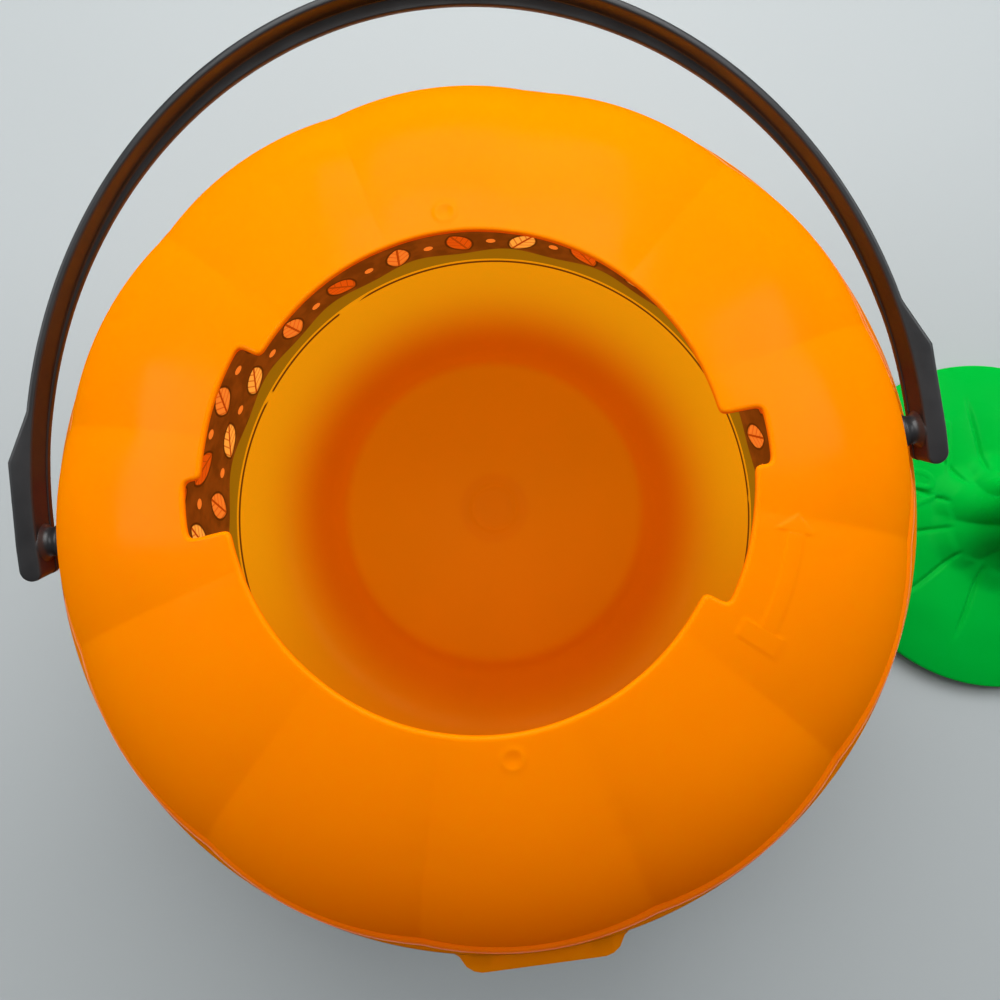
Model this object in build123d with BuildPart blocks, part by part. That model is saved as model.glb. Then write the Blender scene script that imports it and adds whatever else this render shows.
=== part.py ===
"""Pumpkin candy pail: bowl, printed sleeve, lobed snap-on cover, bail handle and twist-off lid.

Millimetres, +Z up. The origin is on the floor under the middle of the bowl. X runs along the
bail's pin axis, -Y is the front, where the finger tab is, and the bail leans back towards +Y.
The lid lies on the floor at the right, taken off.
"""

import os
from math import acos, asin, atan2, cos, degrees, hypot, radians, sin, sqrt

from build123d import *

# Shared sizes
wall = 2.0
overrun = 1.0
lobe_count = 12

# Bowl
rim_radius = 104.0
rim_height = 127.0
rim_thickness = 2.5
rim_width = 4.4
rim_edge_round = 0.8
collar_height = 3.6
foot_inset = 32.0
foot_corner_radius = 20.0
foot_ring_width = 18.0
push_up_height = 3.0
gate_radius = 8.5
gate_width = 1.0
gate_height = 0.6
tab_width = 38.0
tab_reach = 3.0
tab_root = 8.4
tab_thickness = 1.6
tab_corner_radius = 5.5

# Printed sleeve on the bowl
sleeve_drop = 2.0
sleeve_margin = 6.5
sleeve_thickness = 0.4
sleeve_gap = 0.1

# Snap-on cover
seat_gap = 0.05
collar_clearance = 0.35
lip_gap = 0.8
lip_inset = 1.4
lip_height = 3.6
lip_round = 1.0
lip_lobe_depth = 1.0
lip_shares = (0.0, 0.5, 1.0)
shoulder_step = 0.6
dome_rise = 52.5
mouth_radius = 47.4
mouth_slope_share = 0.34
cover_lobe_depth = 1.5
mouth_lobe_depth = 0.5
cover_sections = 7

# Bayonet mouth in the cover
relief_depth = 5.3
relief_angle = 35.0
notch_depth = 3.5
notch_half_angle = 5.7
notch_corner_radius = 1.6

# Pin pads on the cover
pin_rise = 6.3
pad_inset = 3.6
pad_width = 28.0
pad_rise = 8.3
pad_corner_radius = 7.0
pad_top_round = 6.5
pad_thickness = 4.8
pad_backing_rise = 4.8

# Bail handle
bail_lean = 12.0
stud_length = 5.2
lip_clearance = 0.4
bail_arch_rise = 12.6
strap_thickness = 2.0
strap_width = 9.2
grip_depth = 3.2
grip_arm_depth = 0.3
grip_thickness = 2.0
paddle_thickness = 3.2
paddle_heel = 7.8
paddle_full = 19.5
paddle_start = 30.5
paddle_corner_radius = 2.6
stud_flange_radius = 4.3
stud_flange_length = 1.2
stud_waist_radius = 3.3
stud_root_length = 1.2
stud_gap = 0.3
neck_radius = 2.5
neck_clearance = 0.05
head_radius = 3.5
head_tip_radius = 2.3
head_length = 2.2
head_gap = 0.4

# Twist-off lid, lying on the floor
lid_gap = 15.6
lid_forward = 28.0
lid_turn = 15.0
lid_overlap = 1.8
lid_edge_height = 3.6
lid_thickness = 1.8
lid_seat_gap = 0.2
skirt_clearance = 1.2
lug_clearance = 0.8
lug_half_angle = 4.6
lug_foot_thickness = 1.7
crease_radius = 0.7
crease_lift = 3.0
crease_span = 16.0
stem_flutes = 6
stem_inset = 21.2
stem_neck_radius = 14.0
stem_waist_radius = 11.5
stem_top_radius = 13.5
stem_height = 35.0
stem_flute_share = 0.14
stem_twist = 14.0
stem_lean_x = 7.0
stem_lean_y = 5.0

# Places that follow from the sizes above
rim_underside = rim_height - rim_thickness
collar_radius = rim_radius - rim_width
collar_top = rim_height + collar_height
foot_radius = rim_radius - foot_inset
foot_centre = (foot_radius, foot_corner_radius)
foot_run = collar_radius - foot_radius
foot_rise = rim_underside - foot_corner_radius
wall_lean = degrees(atan2(foot_run, foot_rise) - asin(foot_corner_radius / hypot(foot_run, foot_rise)))
push_up_radius = foot_radius - foot_ring_width
sleeve_bottom = foot_corner_radius - sleeve_drop
sleeve_top = rim_underside - sleeve_margin
lip_radius = rim_radius - lip_inset
lip_bottom = rim_height + lip_gap
lip_top = lip_bottom + lip_height
cover_base_radius = collar_radius + shoulder_step
cover_base_height = collar_top - shoulder_step
mouth_height = rim_height + dome_rise
relief_radius = mouth_radius + relief_depth
notch_radius = relief_radius + notch_depth
pin_height = lip_top + pin_rise
pad_face = collar_radius - pad_inset
pad_back = pad_face - pad_thickness
pad_top = pin_height + pad_rise
strap_inner_span = pad_face + stud_length
lip_flat = strap_inner_span - lip_clearance
bail_half_span = strap_inner_span + strap_thickness
bail_reach = bail_half_span + bail_arch_rise
strap_inner_reach = bail_reach - strap_thickness
paddle_face = bail_half_span + paddle_thickness
paddle_tip_span = bail_half_span * sqrt(1 - (paddle_start / bail_reach) ** 2)
stud_face = pad_face + stud_gap
head_face = pad_back - head_gap
bail_plane = Plane(
    origin=(0, 0, pin_height),
    x_dir=(1, 0, 0),
    z_dir=(0, -sin(radians(bail_lean)), cos(radians(bail_lean))),
)
lid_radius = notch_radius + lid_overlap
lid_plane = Plane(
    origin=(rim_radius + lid_gap + lid_radius, -lid_forward, 0),
    x_dir=(cos(radians(lid_turn)), sin(radians(lid_turn)), 0),
    z_dir=(0, 0, 1),
)
lid_section_plane = Plane(origin=lid_plane.origin, x_dir=lid_plane.x_dir, z_dir=-lid_plane.y_dir)
lid_axis = Axis(lid_plane.origin, (0, 0, 1))
skirt_radius = mouth_radius - skirt_clearance
stem_base_radius = skirt_radius - stem_inset
stem_radii = (stem_base_radius, stem_neck_radius, stem_waist_radius, stem_waist_radius, stem_top_radius)
stem_sections = len(stem_radii)


def dome_arc():
    """Centre, radius and mouth slope of the cover's arc, from its base to the mouth's edge."""
    run = cover_base_radius - mouth_radius
    drop = mouth_height - cover_base_height
    chord_angle = degrees(atan2(drop, run))
    slope = chord_angle * mouth_slope_share
    arc_radius = hypot(run, drop) / (2 * sin(radians(chord_angle - slope)))
    centre_r = mouth_radius - arc_radius * sin(radians(slope))
    centre_z = mouth_height - arc_radius * cos(radians(slope))
    return centre_r, centre_z, arc_radius, slope


dome_r, dome_z, dome_radius, mouth_slope = dome_arc()
dome_low_angle = degrees(asin((cover_base_height - dome_z) / dome_radius))
dome_span = 90 - mouth_slope / 2 - dome_low_angle
cover_inner_radius = dome_r + (dome_radius - wall) * cos(radians(dome_low_angle))
lid_under_radius = dome_radius + lid_seat_gap
lid_over_radius = lid_under_radius + lid_thickness
lid_under_angle = degrees(acos((lid_radius - dome_r) / lid_under_radius))
lid_over_angle = degrees(acos((lid_radius - dome_r) / lid_over_radius))
lid_dome_z = lid_edge_height - lid_under_radius * sin(radians(lid_under_angle))
skirt_top = lid_dome_z + sqrt(lid_under_radius ** 2 - (skirt_radius - dome_r) ** 2) + lid_thickness / 2
lug_top = lid_dome_z + sqrt(lid_under_radius ** 2 - (relief_radius - dome_r) ** 2) + lid_thickness / 2
lid_top = lid_dome_z + lid_over_radius
stem_root = lid_top - lid_thickness / 3


def polar(radius, angle):
    return (radius * cos(radians(angle)), radius * sin(radians(angle)))


def lobed_outline(radius, depth, count, turn=0.0):
    """Closed outline of equal arcs that meet in creases; lobe 0 is centred on the local X axis."""
    step = 360 / count
    with BuildSketch() as outline:
        with BuildLine():
            for k in range(count):
                middle = turn + k * step
                first = polar(radius - depth, middle - step / 2)
                last = polar(radius - depth, middle + step / 2)
                ThreePointArc(first, polar(radius, middle), last)
        make_face()
    return outline.sketch


def bowl_section(inset, top):
    """Half section of the bowl, inset from its outside, closed along the axis."""
    step = push_up_radius + inset * (sqrt(2) - 1)
    step_z = push_up_height + inset
    wall_top = collar_radius - inset / cos(radians(wall_lean))
    with BuildSketch() as section:
        with BuildLine():
            Line((0, step_z), (step, step_z))
            Line((step, step_z), (step + push_up_height, inset))
            Line((step + push_up_height, inset), (foot_radius, inset))
            corner = CenterArc(foot_centre, foot_corner_radius - inset, -90, 90 - wall_lean)
            Polyline(corner @ 1, (wall_top, rim_underside), (wall_top, top), (0, top), (0, step_z))
        make_face()
    return section.sketch


def dome_section(angle, inset):
    """Radius and height of the cover's surface at an angle of its arc."""
    reach = dome_radius - inset
    return dome_r + reach * cos(radians(angle)), dome_z + reach * sin(radians(angle))


def dome_depth(radius):
    """Crease depth: full on the shoulder, less at the lip and nearly gone at the mouth."""
    share = (radius - mouth_radius) / (cover_base_radius - mouth_radius)
    rise = mouth_lobe_depth + (cover_lobe_depth - mouth_lobe_depth) * min(1.0, max(0.0, 2 * share))
    fall = (cover_lobe_depth - lip_lobe_depth) * max(0.0, 2 * share - 1)
    return rise - fall


def sector(radius, first, last):
    """Pie slice from the axis out to a radius, between two angles."""
    with BuildSketch() as slice_face:
        with BuildLine():
            Line((0, 0), polar(radius, first))
            CenterArc((0, 0), radius, first, last - first)
            Line(polar(radius, last), (0, 0))
        make_face()
    return slice_face.sketch


def arch(half_span, reach, inner_half_span, inner_reach):
    """Half ring between two ellipses that share the pin axis as their diameter."""
    with BuildSketch() as ring:
        with BuildLine():
            EllipticalCenterArc((0, 0), half_span, reach, 0, arc_size=180)
            Line((-half_span, 0), (-inner_half_span, 0))
            EllipticalCenterArc((0, 0), inner_half_span, inner_reach, 0, arc_size=180)
            Line((inner_half_span, 0), (half_span, 0))
        make_face()
    return ring.sketch


# Bowl: translucent pail with a standing ring, a pushed-up floor and a flat rim
with BuildPart() as bowl:
    with BuildSketch(Plane.XZ):
        add(bowl_section(0, collar_top))
    revolve(axis=Axis.Z)
    with BuildSketch(Plane.XY.offset(rim_underside)):
        Circle(rim_radius)
    extrude(amount=rim_thickness)
    rim_edges = bowl.edges().filter_by(GeomType.CIRCLE).filter_by(lambda e: e.radius > collar_radius + wall)
    fillet(rim_edges, rim_edge_round)
    with BuildSketch(Plane.XY.offset(rim_underside)):
        with Locations((0, -(rim_radius + tab_reach - (tab_root + tab_reach) / 2))):
            RectangleRounded(tab_width, tab_root + tab_reach, tab_corner_radius)
    extrude(amount=tab_thickness)
    with BuildSketch(Plane.XZ):
        add(bowl_section(wall, collar_top + overrun))
    revolve(axis=Axis.Z, mode=Mode.SUBTRACT)
    with BuildSketch(Plane.XY.offset(push_up_height + wall)):
        Circle(gate_radius)
        Circle(gate_radius - gate_width, mode=Mode.SUBTRACT)
    extrude(amount=gate_height)
bowl.part.label = "bowl"

# Printed sleeve: a film round the bowl's belly
with BuildPart() as printed_sleeve:
    with BuildSketch(Plane.XZ):
        add(bowl_section(-(sleeve_gap + sleeve_thickness), collar_top))
    revolve(axis=Axis.Z)
    with BuildSketch(Plane.XZ):
        add(bowl_section(-sleeve_gap, collar_top))
    revolve(axis=Axis.Z, mode=Mode.SUBTRACT)
    with BuildSketch(Plane.XY.offset(sleeve_bottom)):
        Circle(rim_radius)
    extrude(amount=sleeve_top - sleeve_bottom, mode=Mode.INTERSECT)
printed_sleeve.part.label = "printed_sleeve"

# Cover: lobed dome with a beaded lip, pin pads and a bayonet mouth
with BuildPart() as dome_cover:
    for k in range(cover_sections):
        section_angle = dome_low_angle + dome_span * k / (cover_sections - 1)
        section_radius, section_height = dome_section(section_angle, 0)
        with BuildSketch(Plane.XY.offset(section_height)):
            add(lobed_outline(section_radius, dome_depth(section_radius), lobe_count))
    loft()
    for lip_share in lip_shares:
        inset = lip_round * (2 * lip_share - 1) ** 2
        with BuildSketch(Plane.XY.offset(lip_bottom + lip_height * lip_share)):
            add(lobed_outline(lip_radius - inset, lip_lobe_depth, lobe_count))
    loft()
    with BuildSketch(Plane.XY.offset(lip_top - lip_round)):
        RectangleRounded(2 * pad_face, pad_width, pad_corner_radius)
    pad_bar = extrude(amount=pad_top - lip_top + lip_round, mode=Mode.PRIVATE)
    pad_rim = pad_bar.faces().sort_by(Axis.Z)[-1].edges()
    add(pad_bar.fillet(pad_top_round, pad_rim))
    with BuildSketch(Plane.XY.offset(lip_top)):
        Rectangle(2 * rim_radius, pad_width)
        Rectangle(2 * pad_face, pad_width, mode=Mode.SUBTRACT)
    extrude(amount=pad_top - lip_top, mode=Mode.SUBTRACT)
    with BuildSketch(Plane.XY.offset(lip_bottom)):
        Rectangle(2 * rim_radius, pad_width)
        Rectangle(2 * lip_flat, pad_width, mode=Mode.SUBTRACT)
    extrude(amount=lip_height, mode=Mode.SUBTRACT)
    with BuildSketch(Plane.XY.offset(lip_bottom - overrun)):
        add(lobed_outline(cover_inner_radius, lip_lobe_depth, lobe_count))
    for k in range(cover_sections):
        section_angle = dome_low_angle + dome_span * k / (cover_sections - 1)
        section_radius, section_height = dome_section(section_angle, wall)
        with BuildSketch(Plane.XY.offset(section_height)):
            add(lobed_outline(section_radius, dome_depth(section_radius + wall), lobe_count))
    loft(mode=Mode.SUBTRACT)
    with BuildSketch(Plane.XY.offset(lip_bottom - overrun)):
        Circle(collar_radius + collar_clearance)
    extrude(amount=collar_top + seat_gap - lip_bottom + overrun, mode=Mode.SUBTRACT)
    with BuildSketch(Plane.XY.offset(collar_top + seat_gap)):
        Rectangle(2 * pad_face, pad_width)
        Rectangle(2 * pad_back, pad_width, mode=Mode.SUBTRACT)
    extrude(amount=pin_height + pad_backing_rise - collar_top - seat_gap)
    with BuildSketch(Plane.YZ):
        with Locations((0, pin_height)):
            Circle(neck_radius + neck_clearance)
    extrude(amount=rim_radius, both=True, mode=Mode.SUBTRACT)
    with BuildSketch(Plane.XY.offset(pad_top)) as mouth_plan:
        Circle(mouth_radius)
        for side_angle in (0, 180):
            add(sector(notch_radius, side_angle - notch_half_angle, side_angle + notch_half_angle))
            add(sector(relief_radius, side_angle - relief_angle, side_angle - notch_half_angle))
        fillet(mouth_plan.vertices(), notch_corner_radius)
    extrude(amount=mouth_height - pad_top + dome_radius, mode=Mode.SUBTRACT)
dome_cover.part.label = "dome_cover"

# Bail handle: strap with a grip flange, end paddles and headed studs, one moulding
with BuildPart() as bail_handle:
    with BuildSketch(bail_plane.offset(-strap_width / 2)):
        add(arch(bail_half_span, bail_reach, strap_inner_span, strap_inner_reach))
    extrude(amount=strap_width)
    with BuildSketch(bail_plane.offset(-strap_width / 2)):
        add(arch(bail_half_span, bail_reach, strap_inner_span - grip_arm_depth, strap_inner_reach - grip_depth))
    extrude(amount=grip_thickness)
    with BuildSketch(bail_plane.offset(-strap_width / 2)):
        with BuildLine():
            Polyline(
                (strap_inner_span, -paddle_heel),
                (paddle_face, -paddle_heel),
                (paddle_face, paddle_full),
                (paddle_tip_span, paddle_start),
                (paddle_tip_span - strap_thickness / 2, paddle_start),
                (strap_inner_span, 0),
                (strap_inner_span, -paddle_heel),
            )
        make_face()
        mirror(about=Plane.YZ)
    extrude(amount=strap_width)
    heel_edges = bail_handle.edges().filter_by(Axis(bail_plane.origin, bail_plane.z_dir))
    heel_corners = heel_edges.filter_by(lambda e: abs(abs(e.center().X) - paddle_face) < seat_gap)
    fillet(heel_corners.sort_by(Axis.Y)[:2], paddle_corner_radius)
    with BuildSketch(Plane(origin=(0, 0, pin_height), x_dir=(1, 0, 0), z_dir=(0, -1, 0))):
        with BuildLine():
            Polyline(
                (strap_inner_span + strap_thickness / 2, 0),
                (strap_inner_span + strap_thickness / 2, stud_flange_radius),
                (strap_inner_span, stud_flange_radius),
                (strap_inner_span - stud_root_length, stud_waist_radius),
                (stud_face + stud_flange_length + stud_root_length, stud_waist_radius),
                (stud_face + stud_flange_length, stud_flange_radius),
                (stud_face, stud_flange_radius),
                (stud_face, neck_radius),
                (head_face, neck_radius),
                (head_face, head_radius),
                (head_face - head_length, head_tip_radius),
                (head_face - head_length, 0),
                (strap_inner_span + strap_thickness / 2, 0),
            )
        make_face()
        mirror(about=Plane.YZ)
    revolve(axis=Axis((0, 0, pin_height), (1, 0, 0)))
bail_handle.part.label = "bail_handle"

# Twist-off lid: domed disc with a skirt, two bayonet lugs and a fluted stem
with BuildPart() as twist_lid:
    with BuildSketch(lid_section_plane):
        with BuildLine():
            under = CenterArc((dome_r, lid_dome_z), lid_under_radius, lid_under_angle, 90 - lid_under_angle)
            over = CenterArc((dome_r, lid_dome_z), lid_over_radius, lid_over_angle, 90 - lid_over_angle)
            Line(under @ 0, over @ 0)
            Polyline(over @ 1, (0, lid_top), (0, lid_top - lid_thickness), under @ 1)
        make_face()
        with BuildLine():
            Polyline(
                (skirt_radius - wall, 0),
                (skirt_radius, 0),
                (skirt_radius, skirt_top),
                (skirt_radius - wall, skirt_top),
                (skirt_radius - wall, 0),
            )
        make_face()
    revolve(axis=lid_axis)
    with BuildSketch(lid_plane) as lug_feet:
        for side_angle in (0, 180):
            add(sector(notch_radius - lug_clearance, side_angle - lug_half_angle, side_angle + lug_half_angle))
        Circle(skirt_radius - wall / 2, mode=Mode.SUBTRACT)
    extrude(amount=lug_foot_thickness)
    with BuildSketch(lid_plane) as lug_necks:
        for side_angle in (0, 180):
            add(sector(relief_radius - lug_clearance, side_angle - lug_half_angle, side_angle + lug_half_angle))
        Circle(skirt_radius - wall / 2, mode=Mode.SUBTRACT)
    extrude(amount=lug_top)
    for k in range(stem_sections):
        stem_share = k / (stem_sections - 1)
        with BuildSketch(lid_plane.offset(stem_root + stem_height * stem_share)):
            with Locations((stem_lean_x * stem_share ** 2, stem_lean_y * stem_share ** 2)):
                add(lobed_outline(stem_radii[k], stem_radii[k] * stem_flute_share, stem_flutes, stem_twist * k))
    loft()
    for k in range(stem_sections - 1):
        stem_share = k / (stem_sections - 1)
        with BuildSketch(lid_plane.offset(stem_root - wall + stem_height * stem_share)):
            with Locations((stem_lean_x * stem_share ** 2, stem_lean_y * stem_share ** 2)):
                Circle(stem_radii[k] * (1 - stem_flute_share) - wall)
    loft(mode=Mode.SUBTRACT)
    for k in range(lobe_count):
        crease_angle = lid_turn + 360 * (k + 1 / 2) / lobe_count
        crease_plane = Plane(
            origin=lid_plane.origin,
            x_dir=(cos(radians(crease_angle)), sin(radians(crease_angle)), 0),
            z_dir=(sin(radians(crease_angle)), -cos(radians(crease_angle)), 0),
        )
        with BuildLine(crease_plane) as crease:
            CenterArc((dome_r + crease_lift, lid_dome_z), lid_over_radius, 90 - crease_span, crease_span)
            Line((dome_r + crease_lift, lid_top), (stem_base_radius - wall, lid_top))
        with BuildSketch(Plane(origin=crease.line @ 0, z_dir=crease.line % 0)):
            Circle(crease_radius)
        sweep(path=crease.line, mode=Mode.SUBTRACT)
twist_lid.part.label = "twist_lid"

os.makedirs("parts", exist_ok=True)
for piece in (bowl, printed_sleeve, dome_cover, bail_handle, twist_lid):
    export_step(piece.part, f"parts/{piece.part.label}.step")
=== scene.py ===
"""Pumpkin candy pail: finished pieces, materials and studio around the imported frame.

Metres, +Z up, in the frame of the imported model. Each operator builds one piece as a fine mesh in
place of its plain solid, gives it its material and hangs it on the body that moves it.
"""

from math import asin, atan2, cos, hypot, pi, radians, sin, sqrt

import bmesh
import bpy
import numpy as np
from bpy.props import FloatProperty, FloatVectorProperty, IntProperty, PointerProperty
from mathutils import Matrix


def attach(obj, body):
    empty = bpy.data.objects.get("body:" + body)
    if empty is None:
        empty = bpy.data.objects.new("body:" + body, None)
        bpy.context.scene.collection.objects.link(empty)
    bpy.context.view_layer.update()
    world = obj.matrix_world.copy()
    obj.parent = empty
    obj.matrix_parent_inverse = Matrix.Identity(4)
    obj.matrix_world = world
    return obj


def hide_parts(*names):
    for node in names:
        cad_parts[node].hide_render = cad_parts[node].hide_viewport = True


bl_info = {
    "name": "Pumpkin candy pail",
    "version": (1, 0, 0),
    "blender": (4, 5, 0),
    "location": "View3D > Sidebar > Pail",
    "description": "Builds the finished pieces, materials and studio of the candy pail",
    "category": "Object",
}

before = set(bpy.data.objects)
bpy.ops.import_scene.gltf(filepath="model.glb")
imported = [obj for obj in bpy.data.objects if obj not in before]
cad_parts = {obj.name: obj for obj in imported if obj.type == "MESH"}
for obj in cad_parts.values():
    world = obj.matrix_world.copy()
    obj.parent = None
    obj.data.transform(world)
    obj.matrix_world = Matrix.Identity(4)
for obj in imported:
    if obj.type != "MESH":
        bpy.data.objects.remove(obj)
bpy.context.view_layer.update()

MM = 0.001
TAU = 2 * pi
SHARP_EDGE = radians(42)
ARC_ROUNDS = 8
AMBER_DEPTH = (1.0, 0.4, 0.05)

# Name, place, width, power and colour of each softbox
SOFTBOXES = (
    ("back_softbox", (0.1, 0.85, 0.62), 0.9, 3.6, (1.0, 0.99, 0.97)),
    ("over_softbox", (0.08, 0.48, 0.85), 0.75, 5.9, (1.0, 1.0, 0.99)),
    ("top_softbox", (0.0, 0.05, 0.95), 0.6, 0.9, (0.99, 1.0, 1.0)),
    ("left_softbox", (-0.85, 0.2, 0.6), 0.5, 2.5, (0.97, 0.99, 1.0)),
    ("right_softbox", (0.85, 0.2, 0.6), 0.5, 2.5, (0.97, 0.99, 1.0)),
)


def length(label, description, default):
    return FloatProperty(name=label, description=description, default=default, unit="LENGTH", precision=4)


def ratio(label, description, default):
    return FloatProperty(name=label, description=description, default=default)


def number(label, description, default):
    return IntProperty(name=label, description=description, default=default, min=3)


def turn(label, description, degrees):
    return FloatProperty(name=label, description=description, default=radians(degrees), subtype="ANGLE")


def triple(label, description, default, subtype):
    return FloatVectorProperty(name=label, description=description, default=default, size=3, subtype=subtype)


def tint(label, description, default):
    return FloatVectorProperty(
        name=label, description=description, default=default, size=3, min=0.0, max=1.0, subtype="COLOR"
    )


class PailBowlSettings(bpy.types.PropertyGroup):
    rim_radius: length("Rim radius", "Outer radius of the flat rim", 0.104)
    rim_underside: length("Rim underside", "Height of the rim's lower face", 0.1245)
    rim_top: length("Rim top", "Height of the rim's upper face", 0.127)
    collar_radius: length("Collar radius", "Outer radius of the wall and collar", 0.0996)
    collar_top: length("Collar top", "Height of the collar's edge", 0.1306)
    wall: length("Wall", "Thickness of the wall and floor", 0.002)
    foot_radius: length("Foot radius", "Radius of the standing ring's flat", 0.072)
    foot_corner: length("Foot corner", "Radius of the corner between foot and wall", 0.020)
    push_up_radius: length("Push-up radius", "Radius of the raised floor", 0.054)
    push_up_height: length("Push-up height", "Rise of the floor above the standing ring", 0.003)
    gate_radius: length("Gate ring radius", "Radius of the ring on the floor", 0.008)
    gate_height: length("Gate ring height", "Rise of the ring on the floor", 0.0003)
    # The gate disc is where the painted floor glow is dimmer; it paints the middle of the floor darker.
    gate_disc: length("Gate disc", "Radius of the darker middle of the floor", 0.0125)
    tab_half_width: length("Tab half width", "Half the width of the finger tab", 0.019)
    tab_radius: length("Tab reach", "Distance of the tab's edge from the middle", 0.107)
    tab_top: length("Tab top", "Height of the tab's upper face", 0.1261)
    tab_corner: length("Tab corner", "Corner radius of the tab", 0.0055)
    amber: tint("Amber", "Colour of the bowl's plastic", (0.86, 0.235, 0.0))
    # The three glows are painted light: emission on the inside in place of light that comes through the
    # plastic.
    wall_glow: tint("Wall glow", "Light that comes through the bowl's wall", (0.385, 0.24, 0.002))
    floor_glow: tint("Floor glow", "Light that comes through the bowl's floor", (0.17, 0.047, 0.0))
    disc_glow: tint("Disc glow", "Light that comes through the raised floor", (0.20, 0.083, 0.0))
    print_tint: tint("Print tint", "Colour that the wall gives the print behind it", (1.0, 0.72, 0.2))


class PailSleeveSettings(bpy.types.PropertyGroup):
    bottom: length("Bottom", "Lower edge of the printed film", 0.018)
    top: length("Top", "Upper edge of the printed film", 0.118)
    gap: length("Gap", "Clearance between the film and the wall", 0.0001)
    thickness: length("Thickness", "Thickness of the film", 0.0004)
    middle_radius: length("Middle radius", "Radius of the film half way up", 0.0955)
    leaf_count: number("Leaves", "Leaves in one row of the print", 26)
    leaf_width: length("Leaf half width", "Half the width of a leaf", 0.0052)
    leaf_length: length("Leaf half length", "Half the length of a leaf", 0.0084)
    row_height: length("Row height", "Height of one row of leaves", 0.0165)
    border: length("Border", "Height of the first row above the lower edge", 0.0125)
    ground: tint("Ground", "Colour of the print's ground", (0.115, 0.042, 0.012))
    olive: tint("Olive", "Colour of the print's borders", (0.235, 0.185, 0.012))
    peach: tint("Peach", "Colour of the pale leaves", (0.78, 0.31, 0.115))
    rust: tint("Rust", "Colour of the deep leaves", (0.60, 0.125, 0.016))
    cream: tint("Cream", "Colour of the dots and the lightest leaves", (0.85, 0.58, 0.26))
    bare: tint("Bare film", "Colour of the film where it has no ink", (0.80, 0.34, 0.02))
    bare_deep: tint("Bare film, deep", "Colour of the bare film's darker clouds", (0.72, 0.28, 0.012))


class PailCoverSettings(bpy.types.PropertyGroup):
    lobes: number("Lobes", "Lobes round the dome", 12)
    wall: length("Wall", "Thickness of the dome", 0.002)
    base_radius: length("Base radius", "Radius of the dome's arc at its base", 0.1002)
    base_height: length("Base height", "Height of the dome's arc at its base", 0.130)
    mouth_radius: length("Mouth radius", "Radius of the round mouth", 0.0474)
    mouth_height: length("Mouth height", "Height of the mouth's edge", 0.1795)
    slope_share: ratio("Slope share", "Share of the rise kept at the mouth", 0.34)
    fullness: length("Fullness", "How far the shoulder stands out from a plain arc", 0.0030)
    relief_radius: length("Relief radius", "Radius of the two reliefs beside the notches", 0.0527)
    relief_angle: turn("Relief angle", "Angle from a notch to the end of its relief", 35.0)
    notch_radius: length("Notch radius", "Radius of the two notches", 0.0562)
    notch_angle: turn("Notch half angle", "Half the angle of a notch", 5.7)
    notch_round: length("Notch rounding", "Rounding of the mouth's corners", 0.0011)
    edge_round: length("Edge rounding", "Rounding of the mouth's edge", 0.0009)
    ring_radius: length("Ring radius", "Where the rings of the mouth meet those of the dome", 0.066)
    crease_mouth: length("Crease at mouth", "Depth of the creases at the mouth", 0.0008)
    crease_shoulder: length("Crease on shoulder", "Depth of the creases on the shoulder", 0.0021)
    crease_lip: length("Crease at lip", "Depth of the creases at the lip", 0.001)
    lip_radius: length("Lip radius", "Outer radius of the beaded lip", 0.1026)
    lip_top: length("Lip top", "Height of the lip's upper face", 0.1314)
    lip_bottom: length("Lip bottom", "Height of the lip's lower face", 0.1278)
    lip_flat: length("Lip flat", "Distance of the lip's flats beside the paddles", 0.1008)
    pocket_radius: length("Pocket radius", "Radius of the pocket that takes the collar", 0.09995)
    pocket_top: length("Pocket top", "Height of the pocket's roof", 0.13065)
    pad_face: length("Pad face", "Distance of the pin pads' faces from the middle", 0.096)
    pad_back: length("Pad back", "Distance of the pads' backs from the middle", 0.0912)
    pad_half_width: length("Pad half width", "Half the width of a pin pad", 0.014)
    pad_top: length("Pad top", "Height of the pads' tops", 0.146)
    pad_corner: length("Pad corner", "Rounding of the pads' sides", 0.007)
    pad_top_round: length("Pad top rounding", "Rounding of the pads' tops", 0.0065)
    pin_height: length("Pin height", "Height of the bail's pins", 0.1377)
    pin_hole: length("Pin hole", "Radius of the pin holes", 0.00255)
    lip_shine: ratio("Lip shine", "Specular level of the lip", 0.6)
    top_shine: ratio("Top shine", "Specular level of the dome beside the mouth", 0.05)
    orange: tint("Orange", "Colour of the cover's plastic", (0.93, 0.265, 0.0))
    # Glow is painted light: an even emission in place of light that comes through the dome.
    glow: tint("Glow", "Light that comes through the cover", (0.21, 0.014, 0.0))


class PailBailSettings(bpy.types.PropertyGroup):
    lean: turn("Lean", "Angle of the bail above level", 12.0)
    half_span: length("Half span", "Outer half width of the strap's arch", 0.1032)
    reach: length("Reach", "Outer reach of the arch from the pins", 0.1158)
    strap: length("Strap thickness", "Thickness of the strap", 0.002)
    half_width: length("Half width", "Half the width of the strap", 0.0046)
    grip_span: length("Grip half span", "Inner half width of the grip flange", 0.1009)
    grip_reach: length("Grip reach", "Inner reach of the grip flange", 0.1106)
    grip_thickness: length("Grip thickness", "Thickness of the grip flange", 0.002)
    paddle_face: length("Paddle face", "Distance of the paddles' faces from the middle", 0.1064)
    paddle_heel: length("Paddle heel", "Length of a paddle below its pin", 0.0078)
    paddle_full: length("Paddle full", "Length of a paddle's full thickness", 0.0195)
    paddle_start: length("Paddle start", "Where a paddle leaves the strap", 0.0305)
    paddle_corner: length("Paddle corner", "Rounding of a paddle's heel, outside", 0.0026)
    paddle_inner_corner: length("Paddle inner corner", "Rounding of a paddle's heel, inside", 0.0016)
    paddle_slant: length("Paddle slant", "How far a paddle leans in up to its shoulder", 0.001)
    pin_height: length("Pin height", "Height of the pins", 0.1377)
    black: tint("Black", "Colour of the bail's plastic", (0.022, 0.023, 0.025))


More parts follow.
